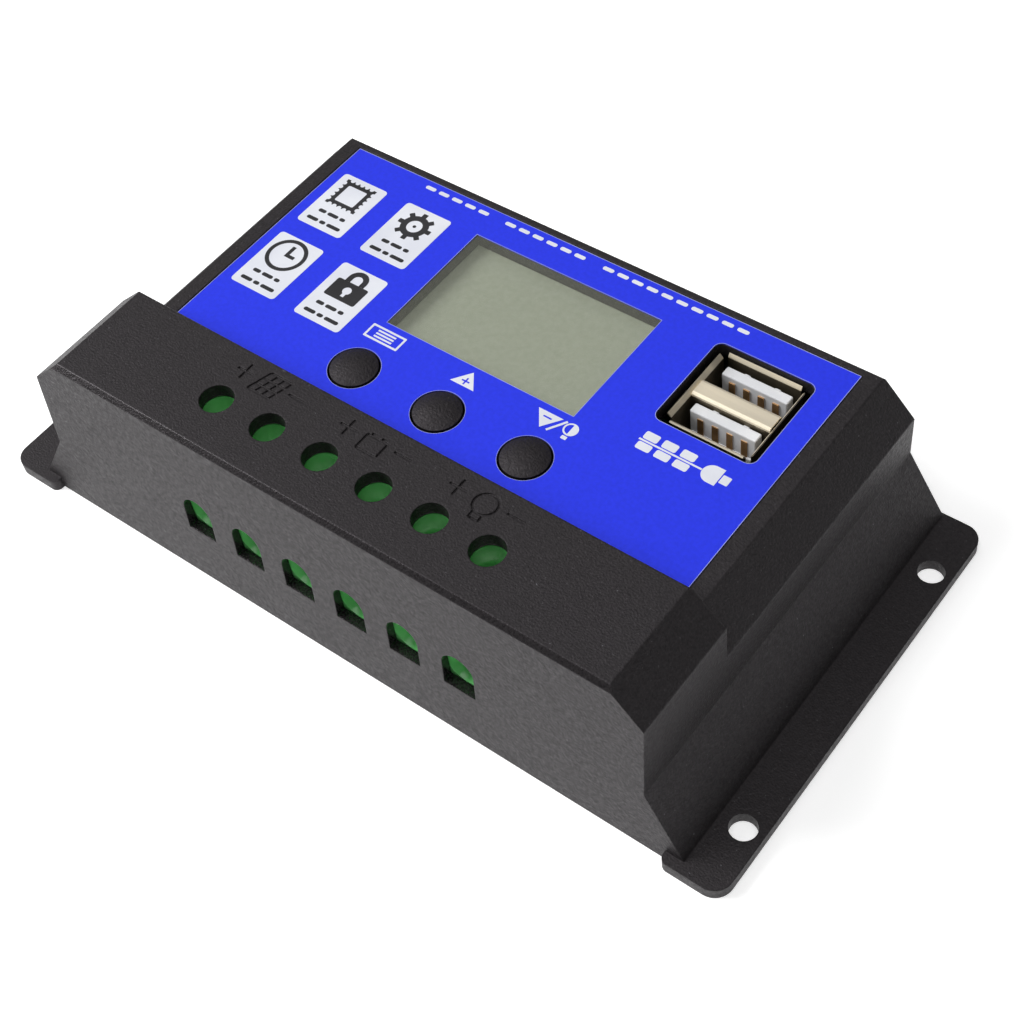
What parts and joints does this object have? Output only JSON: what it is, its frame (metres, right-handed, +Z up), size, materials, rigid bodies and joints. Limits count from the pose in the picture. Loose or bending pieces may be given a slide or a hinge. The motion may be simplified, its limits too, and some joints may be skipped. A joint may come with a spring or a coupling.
{
  "type": "solar charge controller",
  "caption": "Flanged housing with a raised terminal cover over green cage-clamp terminals, a blue panel with display and push buttons, and a two-port USB socket.",
  "frame": {"origin": "middle of the underside", "axes": "+X along the length, +Y from the cable side to the back, +Z up"},
  "size_m": [0.15, 0.0778, 0.035],
  "materials": {
    "housing_plastic": "fine spark-textured moulded black ABS",
    "panel_print": "blue printed polyester film with a satin face",
    "display_glass": "clear float glass",
    "display_polarizer": "grey-green polarising film, satin",
    "diffuser_white": "white light-guide plastic",
    "tray_plastic": "white moulded plastic",
    "tinned_steel": "bright tinned metal",
    "button_plastic": "textured black plastic",
    "switch_plastic": "black moulded nylon",
    "nickel_steel": "nickel-plated folded steel sheet",
    "socket_white": "white moulded plastic",
    "contact_brass": "plated brass",
    "terminal_green": "green moulded polyamide",
    "zinc_steel": "zinc-plated steel",
    "black_steel": "black oxide steel",
    "board_laminate": "green solder mask on glass laminate",
    "chip_epoxy": "black moulded epoxy",
    "can_aluminium": "drawn bare aluminium",
    "rubber_bung": "black rubber",
    "ferrite": "dark sintered ferrite",
    "copper_wire": "enamelled copper wire",
    "fuse_plastic": "translucent red plastic",
    "shunt_alloy": "bare resistance alloy strip",
    "pad_silicone": "grey heat-conducting silicone pad",
    "plate_paint": "black coated aluminium plate"
  },
  "bodies": {
    "housing": {"board_screws": "zinc_steel", "bottom_plate": "plate_paint", "buzzer": "chip_epoxy", "capacitor_bungs": "rubber_bung", "capacitor_cans": "can_aluminium", "circuit_board": "board_laminate", "controller_chip": "chip_epoxy", "controller_chip_legs": "tinned_steel", "crystal_can": "tinned_steel", "display_backlight": "diffuser_white", "display_front_glass": "display_glass", "display_front_polarizer": "display_polarizer", "display_pins": "tinned_steel", "display_rear_glass": "display_glass", "display_rear_polarizer": "display_polarizer", "display_tray": "tray_plastic", "driver_chip": "chip_epoxy", "driver_chip_legs": "tinned_steel", "fuse_blades": "tinned_steel", "fuse_cases": "fuse_plastic", "heat_spreader": "can_aluminium", "inductor_core": "ferrite", "inductor_winding": "copper_wire", "mosfet_cases": "chip_epoxy", "mosfet_pads": "pad_silicone", "mosfet_tabs": "tinned_steel", "panel_film": "panel_print", "plate_screws": "black_steel", "shunt_strip": "shunt_alloy", "switch_case_left": "switch_plastic", "switch_case_middle": "switch_plastic", "switch_case_right": "switch_plastic", "switch_cover_left": "nickel_steel", "switch_cover_middle": "nickel_steel", "switch_cover_right": "nickel_steel", "terminal_bars": "contact_brass", "terminal_block": "terminal_green", "top_housing": "housing_plastic", "usb_contacts": "contact_brass", "usb_insulator": "socket_white", "usb_shell": "nickel_steel"},
    "button_left": {"button_cap_left": "button_plastic", "switch_plunger_left": "switch_plastic"},
    "button_middle": {"button_cap_middle": "button_plastic", "switch_plunger_middle": "switch_plastic"},
    "button_right": {"button_cap_right": "button_plastic", "switch_plunger_right": "switch_plastic"},
    "screw_1": {"terminal_screw_1": "zinc_steel"},
    "cage_1": {"terminal_cage_1": "zinc_steel"},
    "screw_2": {"terminal_screw_2": "zinc_steel"},
    "cage_2": {"terminal_cage_2": "zinc_steel"},
    "screw_3": {"terminal_screw_3": "zinc_steel"},
    "cage_3": {"terminal_cage_3": "zinc_steel"},
    "screw_4": {"terminal_screw_4": "zinc_steel"},
    "cage_4": {"terminal_cage_4": "zinc_steel"},
    "screw_5": {"terminal_screw_5": "zinc_steel"},
    "cage_5": {"terminal_cage_5": "zinc_steel"},
    "screw_6": {"terminal_screw_6": "zinc_steel"},
    "cage_6": {"terminal_cage_6": "zinc_steel"}
  },
  "joints": [
    {"name": "press_left", "type": "slide", "parent": "housing", "child": "button_left", "axis": [0, 0, -1], "range_m": [0, 0.0004], "stiffness_N_per_m": 3000, "springref_m": -0.0001},
    {"name": "press_middle", "type": "slide", "parent": "housing", "child": "button_middle", "axis": [0, 0, -1], "range_m": [0, 0.0004], "stiffness_N_per_m": 3000, "springref_m": -0.0001},
    {"name": "press_right", "type": "slide", "parent": "housing", "child": "button_right", "axis": [0, 0, -1], "range_m": [0, 0.0004], "stiffness_N_per_m": 3000, "springref_m": -0.0001},
    {"name": "turn_screw_1", "type": "hinge", "parent": "housing", "child": "screw_1", "pos_m": [-0.02687, -0.0255, 0.0266], "axis": [0, 0, 1], "range_deg": [-1261, 0]},
    {"name": "lift_cage_1", "type": "slide", "parent": "housing", "child": "cage_1", "axis": [0, 0, 1], "range_m": [0, 0.00245]},
    {"name": "turn_screw_2", "type": "hinge", "parent": "housing", "child": "screw_2", "pos_m": [-0.01613, -0.0255, 0.0266], "axis": [0, 0, 1], "range_deg": [-1261, 0]},
    {"name": "lift_cage_2", "type": "slide", "parent": "housing", "child": "cage_2", "axis": [0, 0, 1], "range_m": [0, 0.00245]},
    {"name": "turn_screw_3", "type": "hinge", "parent": "housing", "child": "screw_3", "pos_m": [-0.00537, -0.0255, 0.0266], "axis": [0, 0, 1], "range_deg": [-1261, 0]},
    {"name": "lift_cage_3", "type": "slide", "parent": "housing", "child": "cage_3", "axis": [0, 0, 1], "range_m": [0, 0.00245]},
    {"name": "turn_screw_4", "type": "hinge", "parent": "housing", "child": "screw_4", "pos_m": [0.00537, -0.0255, 0.0266], "axis": [0, 0, 1], "range_deg": [-1261, 0]},
    {"name": "lift_cage_4", "type": "slide", "parent": "housing", "child": "cage_4", "axis": [0, 0, 1], "range_m": [0, 0.00245]},
    {"name": "turn_screw_5", "type": "hinge", "parent": "housing", "child": "screw_5", "pos_m": [0.01613, -0.0255, 0.0266], "axis": [0, 0, 1], "range_deg": [-1261, 0]},
    {"name": "lift_cage_5", "type": "slide", "parent": "housing", "child": "cage_5", "axis": [0, 0, 1], "range_m": [0, 0.00245]},
    {"name": "turn_screw_6", "type": "hinge", "parent": "housing", "child": "screw_6", "pos_m": [0.02687, -0.0255, 0.0266], "axis": [0, 0, 1], "range_deg": [-1261, 0]},
    {"name": "lift_cage_6", "type": "slide", "parent": "housing", "child": "cage_6", "axis": [0, 0, 1], "range_m": [0, 0.00245]}
  ],
  "couplings": [
    {"joint": "turn_screw_1", "follows": "lift_cage_1", "rad_per_m": -8976},
    {"joint": "turn_screw_2", "follows": "lift_cage_2", "rad_per_m": -8976},
    {"joint": "turn_screw_3", "follows": "lift_cage_3", "rad_per_m": -8976},
    {"joint": "turn_screw_4", "follows": "lift_cage_4", "rad_per_m": -8976},
    {"joint": "turn_screw_5", "follows": "lift_cage_5", "rad_per_m": -8976},
    {"joint": "turn_screw_6", "follows": "lift_cage_6", "rad_per_m": -8976}
  ]
}
